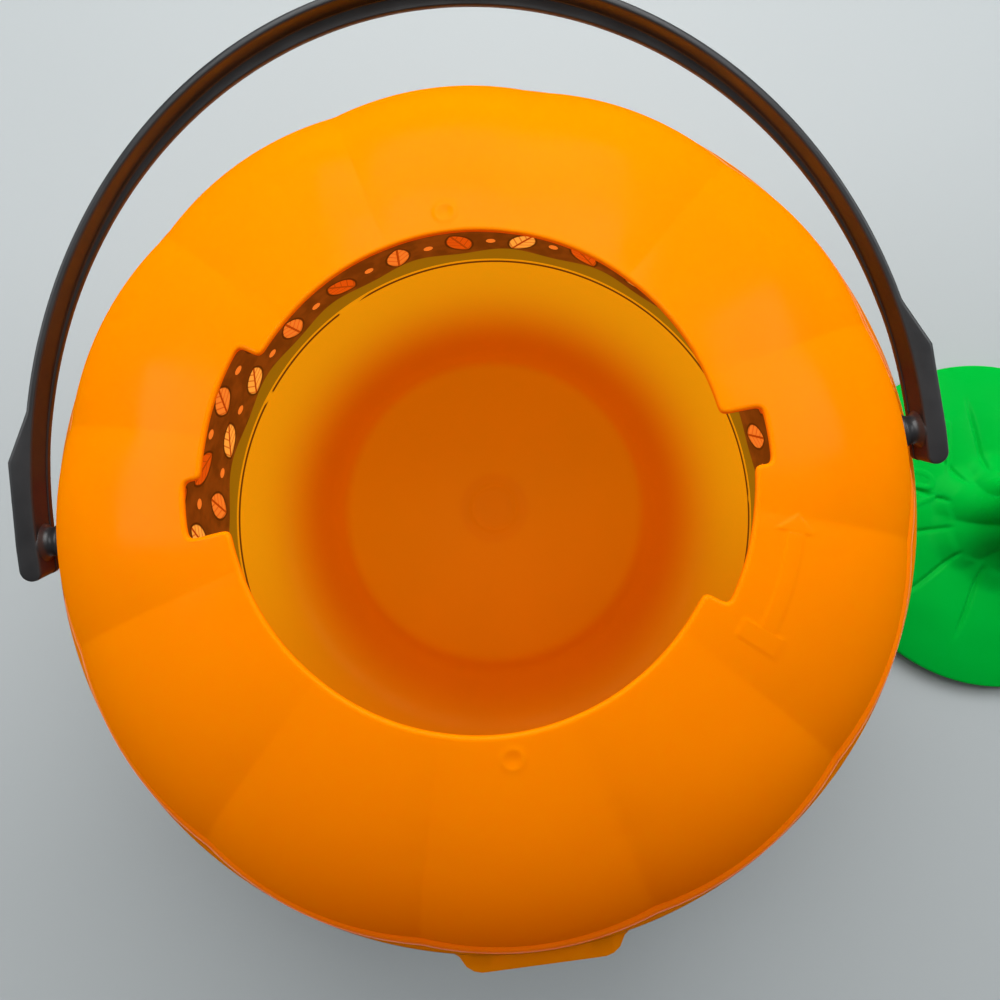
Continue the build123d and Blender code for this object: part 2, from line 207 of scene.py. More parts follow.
class PailLidSettings(bpy.types.PropertyGroup):
    place: triple("Place", "Middle of the lid on the floor", (0.1776, -0.028, 0.0), "TRANSLATION")
    lid_turn: turn("Turn", "Turn of the lid on the floor", 15.0)
    radius: length("Radius", "Outer radius of the disc", 0.05798)
    edge_height: length("Edge height", "Height of the disc's edge above the floor", 0.0036)
    thickness: length("Thickness", "Thickness of the disc", 0.0018)
    seat_gap: length("Seat gap", "Gap between the disc and the dome when closed", 0.0002)
    skirt_radius: length("Skirt radius", "Outer radius of the skirt", 0.0462)
    skirt_wall: length("Skirt wall", "Thickness of the skirt", 0.002)
    lug_foot: length("Lug foot", "Outer radius of the lugs' feet", 0.0554)
    lug_neck: length("Lug neck", "Outer radius of the lugs' necks", 0.0519)
    lug_foot_height: length("Lug foot height", "Height of the lugs' feet", 0.0017)
    lug_angle: turn("Lug half angle", "Half the angle of a lug", 4.6)
    stem_height: length("Stem height", "Height of the stem above its root", 0.035)
    flutes: number("Flutes", "Flutes round the stem", 6)
    flute_share: ratio("Flute share", "Depth of the flutes by radius", 0.14)
    stem_twist: turn("Stem twist", "Twist of the stem from root to top", 56.0)
    stem_lean_x: length("Stem lean X", "Lean of the stem's top along its own X", 0.007)
    stem_lean_y: length("Stem lean Y", "Lean of the stem's top along its own Y", 0.005)
    petals: number("Petals", "Petals round the stem", 12)
    petal_height: length("Petal height", "Rise of a petal's middle", 0.00055)
    crease_depth: length("Crease depth", "Depth of the creases between the petals", 0.0007)
    tendril_height: length("Tendril height", "Rise of the curled tendril", 0.0007)
    green: tint("Green", "Colour of the lid's plastic", (0.0, 0.54, 0.046))


class PailStageSettings(bpy.types.PropertyGroup):
    camera_place: triple("Camera place", "Place of the camera", (0.00475, -0.01439, 0.35791), "TRANSLATION")
    camera_turn: triple(
        "Camera turn", "Turn of the camera", (radians(9.883), radians(0.708), radians(-7.333)), "EULER"
    )
    lens: ratio("Lens", "Focal length in millimetres", 34.2)
    sensor: ratio("Sensor", "Width of the sensor in millimetres", 36.0)
    shift: ratio("Shift", "Upward shift of the picture", -0.12)
    aim_height: length("Aim height", "Height that the softboxes aim at", 0.1)
    floor_size: length("Floor size", "Width of the floor", 6.0)
    floor_colour: tint("Floor colour", "Colour of the floor", (0.545, 0.588, 0.604))
    sky_colour: tint("Sky colour", "Colour of the room's fill light", (0.86, 0.92, 0.96))
    sky_strength: ratio("Sky strength", "Strength of the room's fill light", 0.05)


def smoothstep(low, high, value):
    share = np.clip((value - low) / (high - low), 0.0, 1.0)
    return share * share * (3 - 2 * share)


def round_fall(over, radius):
    """How far a rounded edge falls away, given how far a point is past the edge's start."""
    return radius - np.sqrt(np.maximum(radius ** 2 - np.maximum(over, 0.0) ** 2, 0.0))


def scallop(phase, soft):
    """0 in the middle of a lobe, 1 in the crease between lobes, with a softly rounded crease."""
    side = 2 * (phase - np.floor(phase)) - 1
    return 1 - np.sqrt((1 - side * side) ** 2 + soft ** 2)


def even_angles(count):
    return np.linspace(0.0, TAU, count, endpoint=False)


def loop_length(points):
    """Distance along a closed line of points, from its first point, and the whole length."""
    steps = np.linalg.norm(np.roll(points, -1, axis=0) - points, axis=1)
    return np.concatenate(([0.0], np.cumsum(steps)))


def resample_loop(points, count):
    """The closed line as evenly spaced points."""
    along = loop_length(points)
    closed = np.vstack((points, points[:1]))
    wanted = np.linspace(0.0, along[-1], count, endpoint=False)
    return np.column_stack([np.interp(wanted, along, line) for line in closed.T])


def smooth_loop(values, sigma):
    """Gaussian blur of a closed run of values; sigma is in samples."""
    count = len(values)
    keep = np.exp(-2 * (pi * sigma * np.fft.rfftfreq(count)) ** 2)
    shaped = keep.reshape((-1,) + (1,) * (values.ndim - 1))
    return np.fft.irfft(np.fft.rfft(values, axis=0) * shaped, count, axis=0)


def round_line(points, spacing, sigma):
    """An open line of points, evenly respaced and blurred so that its corners are rounded."""
    points = np.array(points, dtype=float)
    steps = np.linalg.norm(np.diff(points, axis=0), axis=1)
    along = np.concatenate(([0.0], np.cumsum(steps)))
    count = max(4, int(round(along[-1] / spacing)))
    wanted = np.linspace(0.0, along[-1], count + 1)
    line = np.column_stack([np.interp(wanted, along, values) for values in points.T])
    reach = int(4 * sigma / spacing) + 1
    start = 2 * line[0] - line[reach:0:-1]
    end = 2 * line[-1] - line[-2:-reach - 2:-1]
    padded = np.vstack((start, line, end))
    weights = np.exp(-0.5 * (np.arange(-reach, reach + 1) * spacing / sigma) ** 2)
    weights /= weights.sum()
    return np.column_stack([np.convolve(values, weights, mode="valid") for values in padded.T])


def ring_points(radius, angle, height):
    """Points about Z at radii, angles and heights, which may be arrays or single values."""
    return np.stack((radius * np.cos(angle), radius * np.sin(angle), height + 0 * angle), axis=-1)


def revolved(profile, columns):
    """Rings of a profile of radius and height, turned about Z."""
    return ring_points(profile[:, :1], even_angles(columns)[None, :], profile[:, 1:2])


def ring_grid(rows, close_rows=False, first_tip=None, last_tip=None):
    """Vertices and faces of rings of points, rows x columns x 3, each joined to the next.

    A tip closes the grid's first or last ring with a fan to one point.
    """
    count, columns = rows.shape[:2]
    row = np.arange(count if close_rows else count - 1)[:, None]
    column = np.arange(columns)[None, :]
    next_row = (row + 1) % count
    next_column = (column + 1) % columns
    corners = (
        row * columns + column,
        row * columns + next_column,
        next_row * columns + next_column,
        next_row * columns + column,
    )
    faces = np.stack(corners, axis=-1).reshape(-1, 4).tolist()
    points = rows.reshape(-1, 3)
    for tip, end_row in ((first_tip, 0), (last_tip, count - 1)):
        if tip is None:
            continue
        middle = len(points)
        points = np.vstack((points, np.array(tip)[None, :]))
        base = end_row * columns
        for k in range(columns):
            after = base + (k + 1) % columns
            faces.append([base + k, after, middle] if end_row else [after, base + k, middle])
    return points, faces


def capped_grid(rows):
    """A grid of rings whose first and last rings are closed by a fan to their middles."""
    return ring_grid(rows, first_tip=rows[0].mean(axis=0), last_tip=rows[-1].mean(axis=0))


def build_piece(name, parts, material, body, node):
    """One mesh object from several closed parts, riding on a body in place of its plain solid."""
    points = []
    faces = []
    start = 0
    for part_points, part_faces in parts:
        points.append(part_points)
        faces.extend([[start + k for k in face] for face in part_faces])
        start += len(part_points)
    mesh = bpy.data.meshes.new(name)
    mesh.from_pydata(np.vstack(points).tolist(), [], faces)
    work = bmesh.new()
    work.from_mesh(mesh)
    bmesh.ops.recalc_face_normals(work, faces=work.faces)
    work.to_mesh(mesh)
    work.free()
    mesh.shade_smooth()
    mesh.set_sharp_from_angle(angle=SHARP_EDGE)
    mesh.materials.append(material)
    piece = bpy.data.objects.new(name, mesh)
    bpy.context.scene.collection.objects.link(piece)
    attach(piece, body)
    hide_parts(node)
    return piece


class Finish:
    """A material's node tree, with short calls for the nodes that the finishes use."""

    def __init__(self, name):
        self.material = bpy.data.materials.new(name)
        self.material.use_nodes = True
        self.nodes = self.material.node_tree.nodes
        self.links = self.material.node_tree.links
        self.shader = self.nodes["Principled BSDF"]
        self.place = self.nodes.new("ShaderNodeTexCoord").outputs["Object"]

    def set(self, **sockets):
        for label, value in sockets.items():
            self.shader.inputs[label.replace("_", " ")].default_value = value

    def plug_shader(self, label, value):
        self.links.new(value, self.shader.inputs[label])

    def fill(self, node, *values):
        """Feed a node's first inputs with links or constants, and give its first output."""
        for value, socket in zip(values, node.inputs):
            if isinstance(value, bpy.types.NodeSocket):
                self.links.new(value, socket)
            else:
                socket.default_value = value
        return node.outputs[0]

    def math(self, operation, first, second=0.0, third=0.0):
        node = self.nodes.new("ShaderNodeMath")
        node.operation = operation
        return self.fill(node, first, second, third)

    def times(self, first, second):
        return self.math("MULTIPLY", first, second)

    def minus(self, first, second):
        return self.math("SUBTRACT", first, second)

    def size(self, value):
        return self.math("ABSOLUTE", value)

    def distance(self, x, y):
        return self.math("SQRT", self.math("MULTIPLY_ADD", x, x, self.times(y, y)))

    def split(self, vector):
        node = self.nodes.new("ShaderNodeSeparateXYZ")
        self.links.new(vector, node.inputs[0])
        return node.outputs

    def join(self, x, y, z):
        return self.fill(self.nodes.new("ShaderNodeCombineXYZ"), x, y, z)

    def noise(self, scale, detail=2.0):
        node = self.nodes.new("ShaderNodeTexNoise")
        self.links.new(self.place, node.inputs["Vector"])
        node.inputs["Scale"].default_value = scale
        node.inputs["Detail"].default_value = detail
        return node.outputs[0]

    def random(self, vector):
        node = self.nodes.new("ShaderNodeTexWhiteNoise")
        self.links.new(vector, node.inputs["Vector"])
        return node.outputs["Value"]

    def span(self, value, low, high, new_low=0.0, new_high=1.0):
        """A smooth step from one value to another, between two limits."""
        node = self.nodes.new("ShaderNodeMapRange")
        node.interpolation_type = "SMOOTHSTEP"
        return self.fill(node, value, low, high, new_low, new_high)

    def mix(self, share, first, second, blend="MIX"):
        node = self.nodes.new("ShaderNodeMix")
        node.data_type = "RGBA"
        node.blend_type = blend
        for value, socket in ((share, 0), (first, 6), (second, 7)):
            if isinstance(value, bpy.types.NodeSocket):
                self.links.new(value, node.inputs[socket])
            else:
                node.inputs[socket].default_value = value
        return node.outputs[2]

    def bump(self, height, strength, distance, after=None):
        node = self.nodes.new("ShaderNodeBump")
        node.inputs["Strength"].default_value = strength
        node.inputs["Distance"].default_value = distance
        self.links.new(height, node.inputs["Height"])
        if after is not None:
            self.links.new(after, node.inputs["Normal"])
        return node.outputs[0]


def rgba(colour, share=1.0):
    return (colour[0] * share, colour[1] * share, colour[2] * share, 1.0)


def moulded_plastic(name, colour, roughness, scatter, depth, glow=(0.0, 0.0, 0.0)):
    """Moulded plastic: cloudy colour, faint flow marks, soft orange-peel and handling wear, with an optional
    even glow of painted light.
    """
    finish = Finish(name)
    cloud = finish.span(finish.noise(22.0, 3.0), 0.32, 0.68)
    finish.plug_shader("Base Color", finish.mix(cloud, rgba(colour, 0.95), rgba(colour)))
    smear = finish.noise(70.0, 4.0)
    finish.plug_shader("Roughness", finish.span(smear, 0.3, 0.75, roughness - 0.05, roughness + 0.08))
    peel = finish.bump(finish.noise(900.0, 1.0), 0.03, 0.2 * MM)
    sway = finish.bump(finish.noise(45.0, 1.0), 0.03, 1.2 * MM, peel)
    finish.plug_shader("Normal", sway)
    shine = [0.35 + 0.65 * value / max(colour) for value in colour]
    finish.set(Subsurface_Weight=scatter, Subsurface_Radius=depth, Subsurface_Scale=5 * MM)
    finish.set(Specular_IOR_Level=0.06, Specular_Tint=rgba(shine))
    # Painted light: the emission stands in for light that comes through the plastic, and is the same on
    # every side.
    finish.set(Emission_Color=rgba(glow), Emission_Strength=1.0)
    return finish


def leaf_masks(finish, sleeve, x, y):
    """Masks of a leaf's outline, of its blade and of its veins, at places about the leaf's middle."""
    outline = 0.5 * MM
    edge = 0.8 * MM
    vein_gap = 1.7 * MM
    half_width = sleeve.leaf_width
    arc = (half_width ** 2 + sleeve.leaf_length ** 2) / (2 * half_width)
    side = finish.size(x)
    far = finish.distance(finish.math("ADD", side, arc - half_width), y)
    leaf = finish.span(far, arc, arc - outline)
    blade = finish.span(far, arc - edge, arc - edge - 0.6 * MM)
    side_vein = finish.math("PINGPONG", finish.minus(y, side), vein_gap)
    rib = finish.span(side, 0.3 * MM, 0.6 * MM, 1.0, 0.0)
    vein = finish.math("MAXIMUM", rib, finish.span(side_vein, 0.2 * MM, 0.5 * MM, 0.7, 0.0))
    return leaf, blade, vein


def printed_pattern(finish, sleeve):
    """Generic autumn print: leaves and dots on a brown ground between olive borders.

    Gives the print's colour and a mask that is 1 where the film has ink.
    """
    most_tilt = 0.95
    waves = 17.0
    wave_height = 1.6 * MM
    top_border = 6.2 * MM
    soft = 0.6 * MM
    line_height = sleeve.bottom + 1.2 * MM
    clear_height = sleeve.bottom + 3.5 * MM
    first_row = sleeve.bottom + sleeve.border
    x, y, z = finish.split(finish.place)
    around = finish.math("ARCTAN2", y, x)
    up = finish.math("DIVIDE", finish.minus(z, first_row), sleeve.row_height)
    row = finish.math("FLOOR", up)
    odd = finish.math("MODULO", finish.size(row), 2.0)
    turns = finish.math("MULTIPLY_ADD", odd, 0.5, finish.times(around, sleeve.leaf_count / TAU))
    draw = finish.random(finish.join(finish.math("FLOOR", turns), row, 1.0))
    cell_width = TAU * sleeve.middle_radius / sleeve.leaf_count
    across = finish.times(finish.minus(finish.math("FRACT", turns), 0.5), cell_width)
    along = finish.times(finish.minus(finish.math("FRACT", up), 0.5), sleeve.row_height)
    tilt = finish.math("MULTIPLY_ADD", draw, 2 * most_tilt, -most_tilt)
    cosine = finish.math("COSINE", tilt)
    sine = finish.math("SINE", tilt)
    leaf_x = finish.math("MULTIPLY_ADD", across, cosine, finish.times(along, sine))
    leaf_y = finish.minus(finish.times(along, cosine), finish.times(across, sine))
    leaf, blade, vein = leaf_masks(finish, sleeve, leaf_x, leaf_y)
    petal = finish.mix(finish.span(draw, 0.30, 0.34), rgba(sleeve.rust), rgba(sleeve.peach))
    petal = finish.mix(finish.span(draw, 0.70, 0.74), petal, rgba(sleeve.cream))
    petal = finish.mix(vein, petal, rgba(sleeve.rust, 0.6))
    dot_far = finish.distance(finish.minus(finish.size(across), cell_width / 2), along)
    dot = finish.span(dot_far, 1.9 * MM, 1.5 * MM)
    cloud = finish.span(finish.noise(160.0, 2.0), 0.35, 0.7)
    colour = finish.mix(cloud, rgba(sleeve.ground), rgba(sleeve.ground, 1.5))
    colour = finish.mix(dot, colour, rgba(sleeve.peach))
    colour = finish.mix(leaf, colour, rgba(sleeve.ground, 0.55))
    colour = finish.mix(blade, colour, petal)
    wave = finish.times(finish.math("SINE", finish.times(around, waves)), wave_height)
    wavy = finish.math("ADD", z, wave)
    low_edge = finish.span(wavy, first_row - soft, first_row, 1.0, 0.0)
    high_edge = finish.span(wavy, sleeve.top - top_border, sleeve.top - top_border + soft)
    colour = finish.mix(finish.math("MAXIMUM", low_edge, high_edge), colour, rgba(sleeve.olive))
    dash = finish.span(finish.noise(55.0, 1.0), 0.34, 0.38)
    from_line = finish.size(finish.minus(z, line_height))
    line = finish.times(finish.span(from_line, 0.7 * MM, 1.1 * MM, 1.0, 0.0), dash)
    clear = finish.span(z, clear_height, clear_height + soft)
    ink = finish.math("MINIMUM", clear, finish.span(z, sleeve.top, sleeve.top - 0.4 * MM))
    colour = finish.mix(line, colour, rgba(sleeve.ground, 0.8))
    return colour, finish.math("MAXIMUM", ink, line)


def belly_line(bowl, inset, count):
    """Section of the bowl's wall from the foot's flat to the rim, inset from the outside."""
    run = bowl.collar_radius - bowl.foot_radius
    rise = bowl.rim_underside - bowl.foot_corner
    lean = atan2(run, rise) - asin(bowl.foot_corner / hypot(run, rise))
    radius = bowl.foot_corner - inset
    angles = np.linspace(-pi / 2, -lean, 24)
    middle = np.array((bowl.foot_radius, bowl.foot_corner))
    corner = middle + radius * np.column_stack((np.cos(angles), np.sin(angles)))
    end = np.array((bowl.collar_radius - inset / cos(lean), bowl.rim_underside))
    share = np.linspace(0.0, 1.0, count)[1:, None]
    return np.vstack((corner, corner[-1] * (1 - share) + end * share))


class PAIL_OT_bowl(bpy.types.Operator):
    """Build the amber bowl with its rim, collar and finger tab"""

    bl_idname = "pail.bowl"
    bl_label = "Bowl"

    columns = 384
    fan_radius = 1.5 * MM

    def execute(self, context):
        bowl = context.scene.pail_bowl
        inside = self.inside_profile(bowl)
        rings = np.vstack((
            revolved(self.outside_profile(bowl), self.columns),
            self.rim_rings(bowl),
            revolved(self.collar_profile(bowl), self.columns),
            revolved(inside, self.columns),
        ))
        tips = ((0, 0, bowl.push_up_height), (0, 0, float(inside[-1, 1])))
        part = ring_grid(rings, first_tip=tips[0], last_tip=tips[1])
        outside = moulded_plastic("amber_plastic", bowl.amber, 0.34, 0.2, AMBER_DEPTH).material
        piece = build_piece("bowl_shell", [part], outside, "pail", "bowl")
        piece.data.materials.append(self.inside_material(context))
        first_inside = (len(rings) - len(inside)) * self.columns
        corner = np.empty(len(piece.data.loops), dtype=np.int64)
        piece.data.loops.foreach_get("vertex_index", corner)
        starts = np.empty(len(piece.data.polygons), dtype=np.int64)
        piece.data.polygons.foreach_get("loop_start", starts)
        lowest = np.minimum.reduceat(corner, starts)
        piece.data.polygons.foreach_set("material_index", (lowest >= first_inside).astype(np.int32))
        return {"FINISHED"}

    def outside_profile(self, bowl):
        rise = bowl.push_up_height
        under = (
            (self.fan_radius, rise),
            (bowl.push_up_radius, rise),
            (bowl.push_up_radius + rise, 0.0),
            (bowl.foot_radius, 0.0),
        )
        return np.vstack((
            round_line(under, 0.7 * MM, 0.5 * MM)[:-1],
            belly_line(bowl, 0.0, 60)[:-1],
            [(bowl.collar_radius, bowl.rim_underside - 0.4 * MM)],
        ))

    def rim_rings(self, bowl):
        """Rings of the rim as radius, height and the share of the tab's reach that each takes."""
        rim = bowl.rim_radius
        low = bowl.rim_underside
        top = bowl.rim_top
        tab = bowl.tab_top
        rows = np.array((
            (bowl.collar_radius + 0.4 * MM, low, 0),
            (rim - 1.2 * MM, low, 0),
            (rim - 0.5 * MM, low, 1),
            (rim - 0.15 * MM, low + 0.15 * MM, 1),
            (rim, low + 0.5 * MM, 1),
            (rim, tab - 0.45 * MM, 1),
            (rim - 0.1 * MM, tab - 0.12 * MM, 1),
            (rim - 0.35 * MM, tab, 0.93),
            (rim - 0.05 * MM, tab + 0.06 * MM, 0.02),
            (rim - 0.04 * MM, tab + 0.12 * MM, 0),
            (rim - 0.08 * MM, top - 0.45 * MM, 0),
            (rim - 0.3 * MM, top - 0.12 * MM, 0),
            (rim - 0.8 * MM, top, 0),
            (bowl.collar_radius + 0.5 * MM, top, 0),
        ))
        angle = even_angles(self.columns)
        reach = self.tab_reach(bowl, np.arctan2(np.cos(angle), -np.sin(angle))) - rim
        return ring_points(rows[:, :1] + rows[:, 2:] * reach[None, :], angle, rows[:, 1:2])

    def tab_reach(self, bowl, front):
        """Outline of the rim with its finger tab, as a radius at each angle from the front."""
        side = np.abs(front)
        corner_x = bowl.tab_half_width - bowl.tab_corner
        corner_y = bowl.tab_radius - bowl.tab_corner
        straight = bowl.tab_radius / np.maximum(np.cos(side), 0.5)
        ray = corner_x * np.sin(side) + corner_y * np.cos(side)
        gap = corner_x * np.cos(side) - corner_y * np.sin(side)
        curved = ray + np.sqrt(np.maximum(bowl.tab_corner ** 2 - gap ** 2, 0.0))
        past = np.abs(gap) > bowl.tab_corner
        outline = np.where(np.tan(np.minimum(side, 1.0)) * bowl.tab_radius < corner_x, straight, curved)
        outline = np.where(past & (np.sin(side) * bowl.tab_radius > corner_x), bowl.rim_radius, outline)
        return np.maximum(np.where(side > 0.5, bowl.rim_radius, outline), bowl.rim_radius)

    def collar_profile(self, bowl):
        outer = bowl.collar_radius
        inner = outer - bowl.wall
        top = bowl.collar_top
        return np.array((
            (outer, bowl.rim_top + 0.5 * MM),
            (outer, top - 0.5 * MM),
            (outer - 0.15 * MM, top - 0.15 * MM),
            (outer - 0.5 * MM, top),
            (inner + 0.5 * MM, top),
            (inner + 0.15 * MM, top - 0.15 * MM),
            (inner, top - 0.5 * MM),
        ))

    def inside_profile(self, bowl):
        """Inside of the wall and the floor, with the gate's ring and dimple in the middle."""
        ring_width = 0.75 * MM
        dimple_radius = 2.2 * MM
        dimple_depth = 0.4 * MM
        step_in = bowl.push_up_radius + bowl.wall * (sqrt(2) - 1)
        floor_height = bowl.push_up_height + bowl.wall
        floor = (
            (bowl.foot_radius, bowl.wall),
            (step_in + bowl.push_up_height, bowl.wall),
            (step_in, floor_height),
            (self.fan_radius, floor_height),
        )
        wall = belly_line(bowl, bowl.wall, 90)[::-1]
        inside = np.vstack((wall[:-1], round_line(floor, 0.6 * MM, 2.0 * MM)))
        radius = inside[:, 0]
        gate = bowl.gate_height * np.exp(-((radius - bowl.gate_radius) / ring_width) ** 2)
        gate -= dimple_depth * np.exp(-(radius / dimple_radius) ** 2)
        inside[:, 1] += np.where(radius < bowl.push_up_radius, gate, 0.0)
        return inside

    def inside_material(self, context):
        """Amber plastic with the film's print seen through the wall, and an emission glow of painted light
        in place of the light that comes through from behind.
        """
        print_light = (0.75, 0.75, 0.75)
        gate_share = 0.85
        front_share = 0.28
        bowl = context.scene.pail_bowl
        finish = moulded_plastic("amber_inside", bowl.amber, 0.36, 0.0, AMBER_DEPTH)
        body = finish.shader.inputs["Base Color"].links[0].from_socket
        colour, ink = printed_pattern(finish, context.scene.pail_sleeve)
        seen_through = finish.mix(1.0, colour, rgba(bowl.print_tint), "MULTIPLY")
        finish.plug_shader("Base Color", finish.mix(ink, body, seen_through))
        x, y = finish.split(finish.place)[:2]
        radius = finish.distance(x, y)
        # The painted glow is dimmed to gate_share inside the gate disc, which paints the middle of the floor
        # darker.
        near_gate = finish.span(radius, bowl.gate_disc + 1.0 * MM, bowl.gate_disc - 1.0 * MM)
        disc_glow = finish.mix(near_gate, rgba(bowl.disc_glow), rgba(bowl.disc_glow, gate_share))
        on_disc = finish.span(radius, bowl.push_up_radius + 2.5 * MM, bowl.push_up_radius - 2.5 * MM)
        glow = finish.mix(on_disc, rgba(bowl.floor_glow), disc_glow)
        on_wall = finish.span(radius, bowl.foot_radius - 10 * MM, bowl.foot_radius + 17 * MM)
        glow = finish.mix(on_wall, glow, rgba(bowl.wall_glow))
        # Painted shade: the glow falls to front_share of itself towards the front (-Y), the side away from
        # the lights.
        shade = finish.span(y, -90 * MM, 10 * MM, front_share, 1.0)
        glow = finish.mix(1.0, glow, finish.join(shade, shade, shade), "MULTIPLY")
        # Painted light: where the film has ink the glow takes the print's colour, dimmed, as if lit from
        # behind.
        print_glow = finish.mix(1.0, seen_through, rgba(print_light), "MULTIPLY")
        finish.plug_shader("Emission Color", finish.mix(ink, glow, print_glow))
        return finish.material


class PAIL_OT_sleeve(bpy.types.Operator):
    """Build the printed film round the bowl"""

    bl_idname = "pail.sleeve"
    bl_label = "Printed sleeve"

    def execute(self, context):
        sleeve = context.scene.pail_sleeve
        wall = belly_line(context.scene.pail_bowl, 0.0, 400)
        heights = np.linspace(sleeve.bottom, sleeve.top, 60)
        near = np.interp(heights, wall[:, 1], wall[:, 0]) + sleeve.gap
        far = near + sleeve.thickness
        edge = 0.1 * MM
        section = np.vstack((
            [(far[0] - edge, heights[0]), (far[0], heights[0] + edge)],
            np.column_stack((far, heights))[1:-1],
            [(far[-1], heights[-1] - edge), (far[-1] - edge, heights[-1])],
            np.column_stack((near, heights))[::-1],
        ))
        part = ring_grid(revolved(section, 384), close_rows=True)
        material = self.material(sleeve)
        build_piece("sleeve_film", [part], material, "pail", "printed_sleeve")
        return {"FINISHED"}

    def material(self, sleeve):
        finish = Finish("printed_film")
        colour, ink = printed_pattern(finish, sleeve)
        bare = finish.mix(finish.noise(30.0), rgba(sleeve.bare), rgba(sleeve.bare_deep))
        finish.plug_shader("Base Color", finish.mix(ink, bare, colour))
        finish.plug_shader("Roughness", finish.span(finish.noise(60.0, 3.0), 0.3, 0.7, 0.22, 0.34))
        finish.plug_shader("Normal", finish.bump(finish.noise(700.0, 2.0), 0.05, 0.2 * MM))
        finish.set(Coat_Weight=0.25, Coat_Roughness=0.12)
        return finish.material


class DomeSurface:
    """The cover's lobed arc: heights over the plan, and sections by angle."""

    crease_soft = 0.03
    full_power = 0.8

    def __init__(self, cover):
        self.cover = cover
        run = cover.base_radius - cover.mouth_radius
        drop = cover.mouth_height - cover.base_height
        chord_angle = atan2(drop, run)
        slope = chord_angle * cover.slope_share
        self.radius = hypot(run, drop) / (2 * sin(chord_angle - slope))
        self.centre_r = cover.mouth_radius - self.radius * sin(slope)
        self.centre_z = cover.mouth_height - self.radius * cos(slope)
        self.low = asin((cover.base_height - self.centre_z) / self.radius)
        self.high = pi / 2 - slope

    def reach(self, slant, inset):
        """Distance from the arc's centre at an angle of the arc: most where the shoulder is full."""
        share = np.clip((slant - self.low) / (self.high - self.low), 0.0, 1.0)
        return self.radius - inset + self.cover.fullness * np.sin(pi * share ** self.full_power) ** 2

    def lobe(self, angle):
        return scallop(angle * self.cover.lobes / TAU + 0.5, self.crease_soft)

    def depth(self, radius):
        """Depth of the creases: most half way between the mouth and the lip."""
        cover = self.cover
        share = (radius - cover.mouth_radius) / (cover.base_radius - cover.mouth_radius)
        gain = cover.crease_shoulder - cover.crease_mouth
        loss = cover.crease_shoulder - cover.crease_lip
        rise = cover.crease_mouth + gain * np.clip(2 * share, 0.0, 1.0)
        return rise - loss * np.maximum(0.0, 2 * share - 1)

    def height(self, x, y, inset):
        radius = np.hypot(x, y)
        middle = radius + self.depth(radius) * self.lobe(np.arctan2(y, x))
        slant = self.slant_at(middle, inset)
        return self.centre_z + self.reach(slant, inset) * np.sin(slant)

    def section(self, slant, angle, inset):
        """Rings at angles of the arc."""
        reach = self.reach(slant, inset)
        middle = (self.centre_r + reach * np.cos(slant))[:, None]
        radius = middle - self.depth(middle) * self.lobe(angle)[None, :]
        return ring_points(radius, angle, (self.centre_z + reach * np.sin(slant))[:, None])

    def slant_at(self, radius, inset):
        slant = np.full(np.shape(radius), self.high)
        for k in range(ARC_ROUNDS):
            share = (radius - self.centre_r) / self.reach(slant, inset)
            slant = np.arccos(np.clip(share, -1.0, 1.0))
        return slant

    def slant_up_to(self, height, inset):
        slant = self.low
        for k in range(ARC_ROUNDS):
            slant = asin((height - self.centre_z) / float(self.reach(slant, inset)))
        return slant


